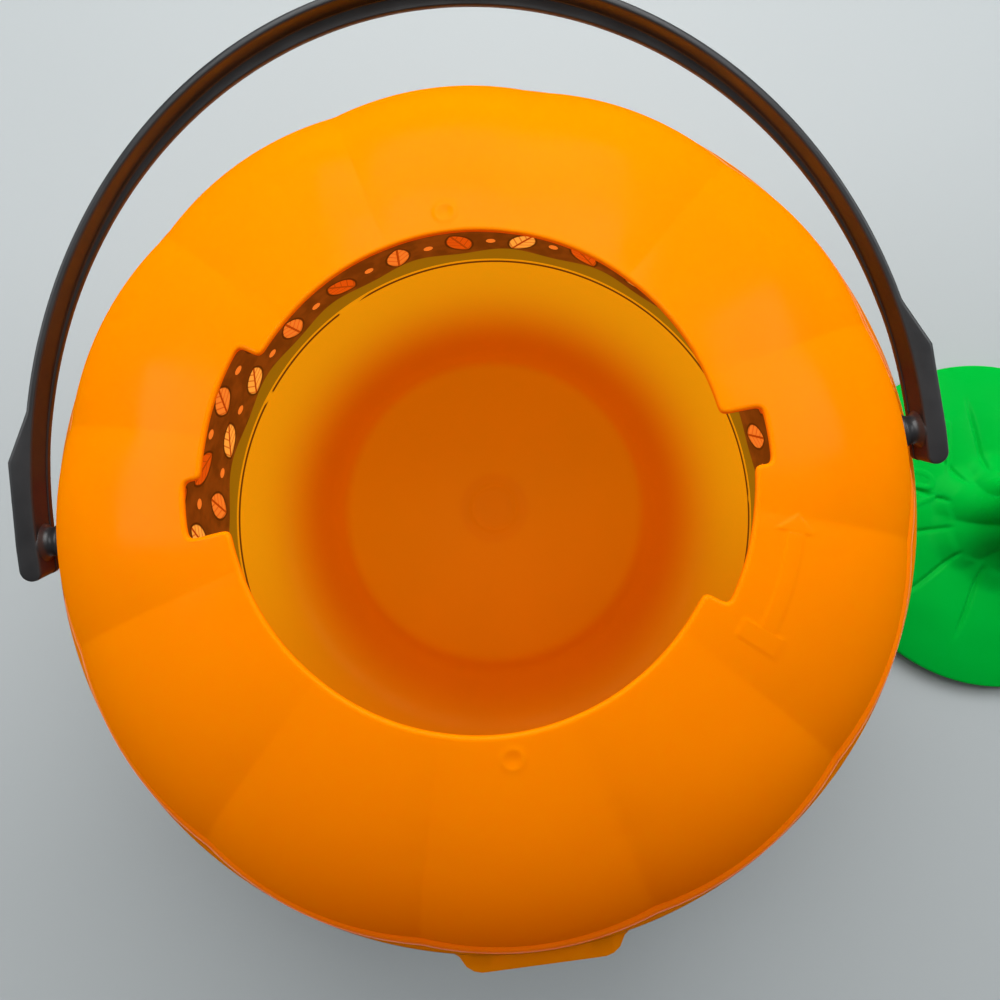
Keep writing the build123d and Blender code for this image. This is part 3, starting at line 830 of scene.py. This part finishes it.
class PAIL_OT_cover(bpy.types.Operator):
    """Build the lobed dome cover with its bayonet mouth, lip and pin pads"""

    bl_idname = "pail.cover"
    bl_label = "Dome cover"

    def execute(self, context):
        cover = context.scene.pail_cover
        dome = DomeSurface(cover)
        columns = 1440
        angle_blur = 26.0
        outline = self.mouth_outline(cover, columns)
        along = np.roll(outline, -1, axis=0) - np.roll(outline, 1, axis=0)
        along /= np.linalg.norm(along, axis=1)[:, None]
        outward = np.column_stack((along[:, 1], -along[:, 0]))
        even = even_angles(columns)
        true_angle = np.unwrap(np.arctan2(outline[:, 1], outline[:, 0]))
        angle = even + smooth_loop(true_angle - even, angle_blur)
        outer = self.add_marks(self.mouth_rings(dome, outline, outward, angle, 0.0, 42))
        inner = self.mouth_rings(dome, outline, outward, angle, cover.wall, 14)
        outer_low = self.shoulder_rings(dome, angle, cover.lip_top + 0.6 * MM, 0.0, 66)
        inner_low = self.shoulder_rings(dome, angle, cover.pocket_top + 0.2 * MM, cover.wall, 40)
        lip = self.lip(dome, angle)
        outside = np.vstack((outer, outer_low))
        self.flatten(cover, outside, cover.pad_face - 0.1 * MM)
        self.flatten(cover, lip, cover.lip_flat)
        rings = np.vstack((outside, lip, inner_low[::-1], inner[::-1]))
        shell = self.open_pin_holes(cover, ring_grid(rings, close_rows=True))
        pads = [self.pad(cover, dome, side) for side in (1, -1)]
        material = self.material(cover)
        build_piece("dome_shell", [shell] + pads, material, "cover", "dome_cover")
        return {"FINISHED"}

    def material(self, cover):
        """Orange plastic: glossy on the lip, where hands polish it, and satin towards the mouth, with an
        even glow of painted light.
        """
        depth = (1.0, 0.30, 0.03)
        finish = moulded_plastic("orange_plastic", cover.orange, 0.18, 0.25, depth, cover.glow)
        height = finish.split(finish.place)[2]
        low = cover.lip_top
        high = cover.mouth_height
        lip_shine = finish.span(height, low + 0.3 * MM, low + 1.0 * MM, cover.lip_shine, 0.0)
        top_shine = finish.span(height, high - 15 * MM, high - 4 * MM, 0.0, cover.top_shine)
        finish.plug_shader("Specular IOR Level", finish.math("ADD", lip_shine, top_shine))
        return finish.material

    def mouth_outline(self, cover, count):
        """Plan of the bayonet mouth: a circle with two notches, each with a relief beside it."""
        spans = (
            (cover.relief_radius, -cover.relief_angle, -cover.notch_angle),
            (cover.notch_radius, -cover.notch_angle, cover.notch_angle),
            (cover.mouth_radius, cover.notch_angle, pi - cover.relief_angle),
        )
        arcs = []
        for side in (0.0, pi):
            for radius, first, last in spans:
                arcs.append(ring_points(radius, np.linspace(first, last, 400) + side, 0.0)[:, :2])
        fine = resample_loop(np.vstack(arcs), 5 * count)
        spacing = loop_length(fine)[-1] / len(fine)
        return resample_loop(smooth_loop(fine, cover.notch_round / spacing), count)

    def mouth_rings(self, dome, outline, outward, angle, inset, count):
        """Rings from the mouth's rounded edge out to a ring on the dome."""
        cover = dome.cover
        edge = cover.edge_round
        rows = []
        for swing in np.linspace(0.0, pi / 2, 7):
            plan = outline + outward * edge * (1 - cos(swing))
            drop = edge * (1 - sin(swing))
            height = dome.height(plan[:, 0], plan[:, 1], inset)
            rows.append(np.column_stack((plan, height + drop if inset else height - drop)))
        start = outline + outward * edge
        reach = cover.ring_radius - dome.depth(cover.ring_radius) * dome.lobe(angle)
        end = ring_points(reach, angle, 0.0)[:, :2]
        for share in np.linspace(0.0, 1.0, count)[1:]:
            plan = start * (1 - share) + end * share
            rows.append(np.column_stack((plan, dome.height(plan[:, 0], plan[:, 1], inset))))
        return np.array(rows)

    def shoulder_rings(self, dome, angle, foot, inset, count):
        """Rings from the ring on the dome down to a height at its foot."""
        first = float(dome.slant_at(dome.cover.ring_radius, inset))
        slants = np.linspace(first, dome.slant_up_to(foot, inset), count)
        return dome.section(slants[1:], angle, inset)

    def add_marks(self, rings):
        """Two moulding marks beside the mouth and a plain raised arrow that shows the way to turn.

        Places are in millimetres and degrees; each edge is a slope between two of them.
        """
        x = rings[..., 0] / MM
        y = rings[..., 1] / MM
        for mark_y, depth in ((52.0, 0.26), (-52.0, 0.14)):
            far = np.hypot(x, y - mark_y)
            mark = np.exp(-((far - 1.9) / 0.6) ** 2) - np.exp(-(far / 1.0) ** 2)
            rings[..., 2] += depth * MM * mark
        off = np.hypot(x, y) - 61.6
        sweep = np.degrees(np.arctan2(y, x))
        shaft = smoothstep(2.2, 1.3, np.abs(off))
        shaft = shaft * smoothstep(-36.4, -35.4, sweep) * smoothstep(-17.2, -18.1, sweep)
        tail = smoothstep(5.1, 4.2, np.abs(off + 0.6))
        tail = tail * smoothstep(-39.8, -38.9, sweep) * smoothstep(-35.2, -36.1, sweep)
        taper = np.clip((-14.4 - sweep) / 3.4, 0.0, 1.0)
        head = smoothstep(0.4, -0.5, np.abs(off) - 4.4 * taper)
        head = head * smoothstep(-18.0, -17.6, sweep) * (sweep < -14.4)
        rings[..., 2] += 0.15 * MM * np.maximum(np.maximum(shaft, tail), head)
        return rings

    def lip(self, dome, angle):
        """Rings of the beaded lip and of the pocket that takes the collar."""
        cover = dome.cover
        lobe = dome.lobe(angle) * cover.crease_lip
        foot = dome.slant_up_to(cover.lip_top + 0.3 * MM, 0.0)
        shoulder = dome.centre_r + float(dome.reach(foot, 0.0)) * cos(foot)
        middle = (cover.lip_top + cover.lip_bottom) / 2
        half = (cover.lip_top - cover.lip_bottom) / 2
        bead = (
            (1.70, 1.0), (1.40, 0.995), (1.15, 0.955), (0.90, 0.875), (0.64, 0.765), (0.40, 0.61),
            (0.20, 0.43), (0.06, 0.22), (0.0, 0.0), (0.06, -0.22), (0.22, -0.455), (0.44, -0.665),
            (0.68, -0.82), (0.94, -0.935), (1.20, -0.99),
        )
        pocket = (
            (0.25, cover.lip_bottom),
            (0.07, cover.lip_bottom + 0.06 * MM),
            (0.0, cover.lip_bottom + 0.2 * MM),
            (0.0, cover.pocket_top - 0.15 * MM),
            (-0.15, cover.pocket_top),
            (-1.4, cover.pocket_top),
        )
        rows = []
        for offset, rise in ((0.05, 0.32), (0.18, 0.12), (0.45, 0.02)):
            rows.append((shoulder + offset * MM - lobe, cover.lip_top + rise * MM))
        for inset, level in bead:
            rows.append((cover.lip_radius - inset * MM - lobe, middle + level * half))
        for offset, height in pocket:
            rows.append((cover.pocket_radius + offset * MM, height))
        return np.array([ring_points(reach, angle, height) for reach, height in rows])

    def flatten(self, cover, rings, face):
        """Cut the rings back to a flat beside each pin."""
        wide = cover.pad_half_width
        x = rings[..., 0]
        beside = smoothstep(wide, wide - 0.8 * MM, np.abs(rings[..., 1]))
        over = np.maximum(np.abs(x) - face, 0.0)
        rings[..., 0] = x - np.sign(x) * over * beside

    def open_pin_holes(self, cover, shell):
        """Drop the faces of the dome that a pin passes; the pads cover the opening on both sides."""
        points, faces = shell
        far = np.hypot(points[:, 1], points[:, 2] - cover.pin_height)
        passed = (far < cover.pin_hole + 0.9 * MM) & (np.abs(points[:, 0]) > 80 * MM)
        kept = [face for face in faces if not all(passed[k] for k in face)]
        used = np.unique(np.array(kept))
        renumber = np.full(len(points), -1)
        renumber[used] = np.arange(len(used))
        return points[used], renumber[np.array(kept)].tolist()

    def pad(self, cover, dome, side):
        """Pin pad: a block with rounded edges and a pin hole, sunk into the shoulder."""
        tiny = 1e-6
        sweep = even_angles(160)
        low = cover.lip_top - 0.7 * MM - cover.pin_height
        high = cover.pad_top - cover.pin_height
        wide = cover.pad_half_width
        hole = cover.pin_hole
        reach_y = wide / np.maximum(np.abs(np.cos(sweep)), tiny)
        reach_z = np.where(np.sin(sweep) > 0, high, -low) / np.maximum(np.abs(np.sin(sweep)), tiny)
        reach = np.minimum(reach_y, reach_z)
        front = []
        back = []
        for step in np.concatenate(([0.0, 0.03], np.linspace(0.1, 1.0, 26))):
            far = hole + (reach - hole) * step
            y = far * np.cos(sweep)
            z = far * np.sin(sweep) + cover.pin_height
            fall_y = round_fall(np.abs(y) - (wide - cover.pad_corner), cover.pad_corner)
            fall_z = round_fall(z - (cover.pad_top - cover.pad_top_round), cover.pad_top_round)
            x_front = cover.pad_face - np.hypot(fall_y, fall_z) - (0.12 * MM if step == 0.0 else 0.0)
            level = np.clip((z - dome.centre_z) / dome.radius, 0.0, 1.0)
            wall = dome.centre_r + dome.radius * np.sqrt(1 - level ** 2)
            wall = np.sqrt(np.maximum(wall ** 2 - y ** 2, 0.0)) - 1.1 * MM
            x_back = np.minimum(np.minimum(cover.pad_back, wall), x_front - 0.3 * MM)
            front.append(np.column_stack((side * x_front, y, z)))
            back.append(np.column_stack((side * x_back, y, z)))
        return ring_grid(np.array(front + back[::-1]), close_rows=True)


class PAIL_OT_bail(bpy.types.Operator):
    """Build the bail handle with its grip flange, paddles and studs"""

    bl_idname = "pail.bail"
    bl_label = "Bail handle"

    def execute(self, context):
        bail = context.scene.pail_bail
        parts = [self.strap(bail)] + [self.stud(bail, side) for side in (1, -1)]
        build_piece("bail_strap", parts, self.material(bail), "bail", "bail_handle")
        return {"FINISHED"}

    def material(self, bail):
        """Black plastic with a fine grain and a slow sway in its surface."""
        finish = Finish("black_plastic")
        cloud = finish.span(finish.noise(40.0, 3.0), 0.3, 0.7)
        finish.plug_shader("Base Color", finish.mix(cloud, rgba(bail.black, 0.85), rgba(bail.black, 1.25)))
        finish.plug_shader("Roughness", finish.span(finish.noise(120.0, 4.0), 0.3, 0.7, 0.33, 0.46))
        fine = finish.bump(finish.noise(1400.0, 2.0), 0.10, 0.15 * MM)
        finish.plug_shader("Normal", finish.bump(finish.noise(90.0, 1.0), 0.08, 0.6 * MM, fine))
        finish.set(Specular_IOR_Level=0.55)
        return finish.material

    def stations(self, bail):
        """Outer, inner and flange points of the right half, from the heel up to the apex."""
        heel = -bail.paddle_heel
        corner = bail.paddle_corner
        full = bail.paddle_full
        inner_corner = bail.paddle_inner_corner
        inner_span = bail.half_span - bail.strap
        inner_reach = bail.reach - bail.strap
        low = np.concatenate((
            heel + corner * (1 - np.cos(np.linspace(0.0, pi / 2, 10))),
            np.linspace(heel + corner, full, 22)[1:],
            np.linspace(full, bail.paddle_start, 12)[1:],
        ))
        start = asin(bail.paddle_start / bail.reach)
        arc = np.linspace(start, pi / 2, 90)[1:]
        tip = bail.half_span * cos(start)
        taper = np.clip((low - full) / (bail.paddle_start - full), 0.0, 1.0)
        face = bail.paddle_face - bail.paddle_slant * np.clip(low / full, 0.0, 1.0)
        outer_x = face + (tip - face) * taper - round_fall(heel + corner - low, corner)
        heel_in = round_fall(heel + inner_corner - low, inner_corner)
        lift = np.arcsin(np.clip(low / bail.reach, 0.0, 1.0))
        down = np.minimum(low, 0.0)
        lines = []
        for points_x, span, reach in (
            (outer_x, bail.half_span, bail.reach),
            (inner_span * np.cos(lift) + heel_in, inner_span, inner_reach),
            (bail.grip_span * np.cos(lift) + heel_in, bail.grip_span, bail.grip_reach),
        ):
            points_y = reach * np.sin(lift) + down
            leg = np.column_stack((points_x, low if points_x is outer_x else points_y))
            lines.append(np.vstack((leg, np.column_stack((span * np.cos(arc), reach * np.sin(arc))))))
        return lines

    def strap(self, bail):
        """The strap's L-shaped section with rounded corners, carried round both halves of the arch."""
        most_round = 0.45
        mirror = np.array((-1.0, 1.0))
        outer, inner, grip = [np.vstack((line, line[-2::-1] * mirror)) for line in self.stations(bail)]
        across = inner - outer
        thick = np.linalg.norm(across, axis=1)
        across /= thick[:, None]
        flange = np.maximum(np.einsum("ij,ij->i", grip - inner, across), 0.1 * MM)
        half = bail.half_width
        shelf = -half + bail.grip_thickness
        zero = 0 * thick
        corners = (
            (zero, -half, (0, 1), (1, 0), 0.6 * MM),
            (thick + flange, -half, (-1, 0), (0, 1), 0.6 * MM),
            (thick + flange, shelf, (0, -1), (-1, 0), 0.45 * MM),
            (thick, shelf, (1, 0), (0, 1), 0.5 * MM),
            (thick, half, (0, -1), (-1, 0), 0.65 * MM),
            (zero, half, (1, 0), (0, -1), 1.05 * MM),
        )
        columns = []
        for reach, level, before, after, radius in corners:
            limit = np.minimum(radius, most_round * thick)
            if level == shelf:
                limit = np.minimum(limit, most_round * flange)
            for swing in np.linspace(0.0, pi / 2, 5):
                first = limit * (1 - sin(swing))
                second = limit * (1 - cos(swing))
                depth = reach + before[0] * first + after[0] * second
                width = level + before[1] * first + after[1] * second
                x, y = (outer + across * depth[:, None]).T
                columns.append(self.lean_back(bail, x, y, width))
        return capped_grid(np.stack(columns, axis=1))

    def lean_back(self, bail, x, y, n):
        """Points of the bail's own plane, x and y in it and n across it, as it leans at rest."""
        back = y * cos(bail.lean) - n * sin(bail.lean)
        up = bail.pin_height + y * sin(bail.lean) + n * cos(bail.lean)
        return np.column_stack((x, back, up))

    def stud(self, bail, side):
        """Headed stud of one paddle, as a profile of reach and radius turned about the pin axis."""
        profile = MM * np.array((
            (102.4, 4.6), (101.4, 4.55), (101.0, 4.25), (100.5, 3.7), (100.0, 3.4), (99.4, 3.3),
            (98.8, 3.38), (98.2, 3.75), (97.7, 4.15), (97.4, 4.3), (96.75, 4.3), (96.45, 4.2),
            (96.3, 3.95), (96.3, 2.5), (90.8, 2.5), (90.8, 3.4), (90.6, 3.5), (89.0, 2.62),
            (88.7, 2.4), (88.6, 2.1),
        ))
        turned = revolved(profile[:, ::-1], 64)
        rings = np.stack((side * turned[..., 2], turned[..., 0], turned[..., 1] + bail.pin_height), axis=-1)
        return capped_grid(rings)


class PAIL_OT_lid(bpy.types.Operator):
    """Build the twist-off lid with its petals, tendril, lugs and stem"""

    bl_idname = "pail.lid"
    bl_label = "Twist lid"

    flute_soft = 0.09

    def execute(self, context):
        lid = context.scene.pail_lid
        dome = DomeSurface(context.scene.pail_cover)
        under = dome.radius + lid.seat_gap
        over = under + lid.thickness
        edge_slant = np.arccos((lid.radius - dome.centre_r) / under)
        self.arc = (dome.centre_r, lid.edge_height - under * sin(edge_slant))
        self.root = self.arc[1] + over - lid.thickness / 3
        self.lean = np.array((lid.stem_lean_x, lid.stem_lean_y, 0.0))
        angle = even_angles(720)
        rings = np.vstack((self.top_rings(lid, over, angle), self.under_rings(lid, under, angle)))
        parts = [capped_grid(rings)] + [self.lug(lid, under, side) for side in (0.0, pi)]
        parts = [(self.lay_down(lid, points), faces) for points, faces in parts]
        material = moulded_plastic("green_plastic", lid.green, 0.30, 0.15, (0.15, 1.0, 0.3)).material
        build_piece("lid_shell", parts, material, "lid", "twist_lid")
        return {"FINISHED"}

    def turned(self, lid, x, y):
        """Places about the lid's middle, turned as the lid lies on the floor."""
        cosine = cos(lid.lid_turn)
        sine = sin(lid.lid_turn)
        return x * cosine - y * sine, x * sine + y * cosine

    def lay_down(self, lid, points):
        x, y = self.turned(lid, points[:, 0], points[:, 1])
        return np.column_stack((x, y, points[:, 2])) + np.array(lid.place)

    def disc_height(self, radius, reach):
        centre_r, centre_z = self.arc
        beyond = np.maximum(radius - centre_r, 0.0)
        return centre_z + np.sqrt(np.maximum(reach ** 2 - beyond ** 2, 0.0))

    def stem_radius(self, share):
        heights = np.array((0.0, 0.25, 0.5, 0.75, 1.0))
        radii = np.array((25.0, 14.0, 11.5, 11.5, 13.5)) * MM
        return np.polyval(np.polyfit(heights, radii, 4), share)

    def stem_ring(self, lid, share, angle, radius, height):
        flute = scallop((angle - lid.stem_twist * share) * lid.flutes / TAU + 0.5, self.flute_soft)
        reach = radius * (1 - lid.flute_share * flute)
        return ring_points(reach, angle, height) + self.lean * share ** 2

    def top_rings(self, lid, over, angle):
        """Rings from the middle of the stem's top, down the stem and out over the disc to its edge."""
        blend_rounds = 10
        top = self.root + lid.stem_height
        rows = []
        for inset, drop in ((0.12, 0.9), (0.4, 0.75), (0.65, 0.45), (0.84, 0.12), (0.93, 0.05), (0.98, 0.3)):
            rows.append(self.stem_ring(lid, 1.0, angle, self.stem_radius(1.0) * inset, top - drop * MM))
        for share in np.linspace(0.975, 0.03, 44):
            height = self.root + lid.stem_height * share
            rows.append(self.stem_ring(lid, share, angle, self.stem_radius(share), height))
        x, y = rows[-1][:, :2].T
        first = np.hypot(x, y) + 0.8 * MM
        disc_angle = np.arctan2(y, x)
        disc_from = len(rows)
        for share in np.linspace(0.0, 1.0, 80)[1:]:
            radius = first * (1 - share) + (lid.radius - 0.35 * MM) * share
            rows.append(ring_points(radius, disc_angle, self.disc_height(radius, over)))
        rings = np.array(rows)
        blend = rings[disc_from - 5:disc_from + 7]
        for k in range(blend_rounds):
            blend[1:-1] = (blend[:-2] + 2 * blend[1:-1] + blend[2:]) / 4
        self.add_relief(lid, rings[disc_from - 4:])
        rim_top = self.disc_height(lid.radius, over)
        rim = (
            (lid.radius - 0.1 * MM, rim_top - 0.12 * MM),
            (lid.radius, rim_top - 0.45 * MM),
            (lid.radius, lid.edge_height + 0.4 * MM),
            (lid.radius - 0.12 * MM, lid.edge_height + 0.1 * MM),
        )
        return np.vstack((rings, [ring_points(radius, disc_angle, height) for radius, height in rim]))

    def add_relief(self, lid, rings):
        """Petals with creases between them, and a curled tendril."""
        crease_width = 0.8 * MM
        x = rings[..., 0]
        y = rings[..., 1]
        radius = np.hypot(x, y)
        phase = (np.arctan2(y, x) + lid.lid_turn) * lid.petals / TAU
        side = 2 * np.abs(phase - np.round(phase))
        fade = smoothstep(48 * MM, 36 * MM, radius)
        groove = np.exp(-(radius * np.sin(side * pi / lid.petals) / crease_width) ** 2)
        puff = 1 - (1 - side) ** 2
        cord = smoothstep(1.5 * MM, 0.3 * MM, self.tendril_distance(*self.turned(lid, x, y)))
        lift = lid.petal_height * puff * fade - lid.crease_depth * groove * fade
        rings[..., 2] += lift * (1 - cord) + lid.tendril_height * cord

    def tendril_distance(self, x, y):
        """Distance to the tendril's curves, given about the lid's middle as radius and world angle."""
        curls = (
            ((33.6, 140.0), (30.9, 137.0), (26.2, 136.0), (25.0, 145.0), (31.0, 148.0)),
            ((38.2, 104.0), (30.0, 112.0), (23.5, 124.0), (21.1, 137.0), (23.6, 152.0), (29.4, 161.5)),
        )
        nearest = np.full(x.shape, 1.0)
        for curl in curls:
            radius, angle = np.array(curl).T
            points = ring_points(radius * MM, np.radians(angle), 0.0)[:, :2]
            for px, py in round_line(points, 0.4 * MM, 1.6 * MM):
                nearest = np.minimum(nearest, np.hypot(x - px, y - py))
        return nearest

    def under_rings(self, lid, under, angle):
        """Rings of the underside: the disc, the skirt and the hollow of the stem."""
        skirt = lid.skirt_radius
        inner = skirt - lid.skirt_wall
        join = self.disc_height(skirt, under)
        inside = self.disc_height(inner, under)
        bore = self.stem_radius(0.0) * (1 - lid.flute_share) - lid.skirt_wall
        outer_disc = np.linspace(lid.radius - 0.5 * MM, skirt + 0.6 * MM, 10)
        inner_disc = np.linspace(inner - 0.8 * MM, bore + 1.0 * MM, 14)
        profile = np.vstack((
            np.column_stack((outer_disc, self.disc_height(outer_disc, under))),
            [
                (skirt + 0.1 * MM, join - 0.4 * MM), (skirt, join - 1.0 * MM), (skirt, 0.4 * MM),
                (skirt - 0.12 * MM, 0.1 * MM), (skirt - 0.4 * MM, 0.0), (inner + 0.4 * MM, 0.0),
                (inner + 0.12 * MM, 0.1 * MM), (inner, 0.4 * MM), (inner, inside - 0.8 * MM),
                (inner - 0.2 * MM, inside - 0.2 * MM),
            ],
            np.column_stack((inner_disc, self.disc_height(inner_disc, under))),
        ))
        rows = [ring_points(radius, angle, height) for radius, height in profile]
        for share in np.linspace(0.02, 0.75, 18):
            radius = self.stem_radius(share) * (1 - lid.flute_share) - lid.skirt_wall
            height = self.root - lid.skirt_wall + lid.stem_height * share
            rows.append(ring_points(radius, angle, height) + self.lean * share ** 2)
        return np.array(rows)

    def lug(self, lid, under, side):
        """Bayonet lug: a neck on the skirt with a wider foot, its edges softened."""
        inner = lid.skirt_radius - lid.skirt_wall / 2
        neck = lid.lug_neck
        foot = lid.lug_foot
        height = lid.lug_foot_height
        top = self.disc_height(neck, under) + lid.thickness / 2
        soft = 0.3 * MM
        section = np.array((
            (inner, soft), (inner, top), (neck, top), (neck, height), (foot - soft, height),
            (foot, height - soft), (foot, soft), (foot - soft, 0.0), (inner + soft, 0.0),
        ))
        sweep = np.linspace(-lid.lug_angle, lid.lug_angle, 9) + side
        return capped_grid(np.array([ring_points(section[:, 0], a, section[:, 1]) for a in sweep]))


class PAIL_OT_stage(bpy.types.Operator):
    """Set up the floor, the lights, the world and the camera"""

    bl_idname = "pail.stage"
    bl_label = "Stage"

    def execute(self, context):
        stage = context.scene.pail_stage
        self.floor(context, stage)
        for softbox in SOFTBOXES:
            self.light(context, stage, *softbox)
        self.world(context, stage)
        camera = bpy.data.cameras.new("camera")
        camera.lens = stage.lens
        camera.sensor_width = stage.sensor
        camera.shift_y = stage.shift
        camera.clip_start = 10 * MM
        place = bpy.data.objects.new("camera", camera)
        place.location = stage.camera_place
        place.rotation_euler = stage.camera_turn
        context.scene.collection.objects.link(place)
        context.scene.camera = place
        context.scene.view_settings.view_transform = "Standard"
        return {"FINISHED"}

    def floor(self, context, stage):
        half = stage.floor_size / 2
        mesh = bpy.data.meshes.new("floor")
        corners = [(-half, -half, 0), (half, -half, 0), (half, half, 0), (-half, half, 0)]
        mesh.from_pydata(corners, [], [(0, 1, 2, 3)])
        finish = Finish("pale_floor")
        soft = finish.span(finish.noise(3.0, 2.0), 0.3, 0.7)
        pale = finish.mix(soft, rgba(stage.floor_colour, 0.98), rgba(stage.floor_colour))
        finish.plug_shader("Base Color", pale)
        finish.set(Roughness=0.55, Specular_IOR_Level=0.3)
        mesh.materials.append(finish.material)
        floor = bpy.data.objects.new("floor", mesh)
        context.scene.collection.objects.link(floor)

    def light(self, context, stage, name, place, size, power, colour):
        """A square softbox that aims at a point above the middle of the floor."""
        lamp = bpy.data.lights.new(name, "AREA")
        lamp.shape = "SQUARE"
        lamp.size = size
        lamp.energy = power
        lamp.color = colour
        holder = bpy.data.objects.new(name, lamp)
        holder.location = place
        tilt = atan2(hypot(place[0], place[1]), place[2] - stage.aim_height)
        holder.rotation_euler = (tilt, 0.0, atan2(place[1], place[0]) + pi / 2)
        context.scene.collection.objects.link(holder)

    def world(self, context, stage):
        world = bpy.data.worlds.new("studio")
        world.use_nodes = True
        sky = world.node_tree.nodes["Background"]
        sky.inputs["Color"].default_value = rgba(stage.sky_colour)
        sky.inputs["Strength"].default_value = stage.sky_strength
        context.scene.world = world


class PAIL_PT_panel(bpy.types.Panel):
    """Sizes, colours and builders of the candy pail"""

    bl_idname = "PAIL_PT_panel"
    bl_label = "Candy pail"
    bl_space_type = "VIEW_3D"
    bl_region_type = "UI"
    bl_category = "Pail"

    def draw(self, context):
        for operator, group, settings in PIECES:
            box = self.layout.box()
            box.operator(operator.bl_idname)
            values = getattr(context.scene, group)
            for name in values.bl_rna.properties.keys():
                if name not in ("rna_type", "name"):
                    box.prop(values, name)


PIECES = (
    (PAIL_OT_bowl, "pail_bowl", PailBowlSettings),
    (PAIL_OT_sleeve, "pail_sleeve", PailSleeveSettings),
    (PAIL_OT_cover, "pail_cover", PailCoverSettings),
    (PAIL_OT_bail, "pail_bail", PailBailSettings),
    (PAIL_OT_lid, "pail_lid", PailLidSettings),
    (PAIL_OT_stage, "pail_stage", PailStageSettings),
)


def register():
    for operator, group, settings in PIECES:
        bpy.utils.register_class(settings)
        setattr(bpy.types.Scene, group, PointerProperty(type=settings))
        bpy.utils.register_class(operator)
    bpy.utils.register_class(PAIL_PT_panel)


def unregister():
    bpy.utils.unregister_class(PAIL_PT_panel)
    for operator, group, settings in reversed(PIECES):
        bpy.utils.unregister_class(operator)
        delattr(bpy.types.Scene, group)
        bpy.utils.unregister_class(settings)


def main():
    register()
    bpy.ops.pail.bowl()
    bpy.ops.pail.sleeve()
    bpy.ops.pail.cover()
    bpy.ops.pail.bail()
    bpy.ops.pail.lid()
    bpy.ops.pail.stage()


if __name__ == "__main__":
    main()
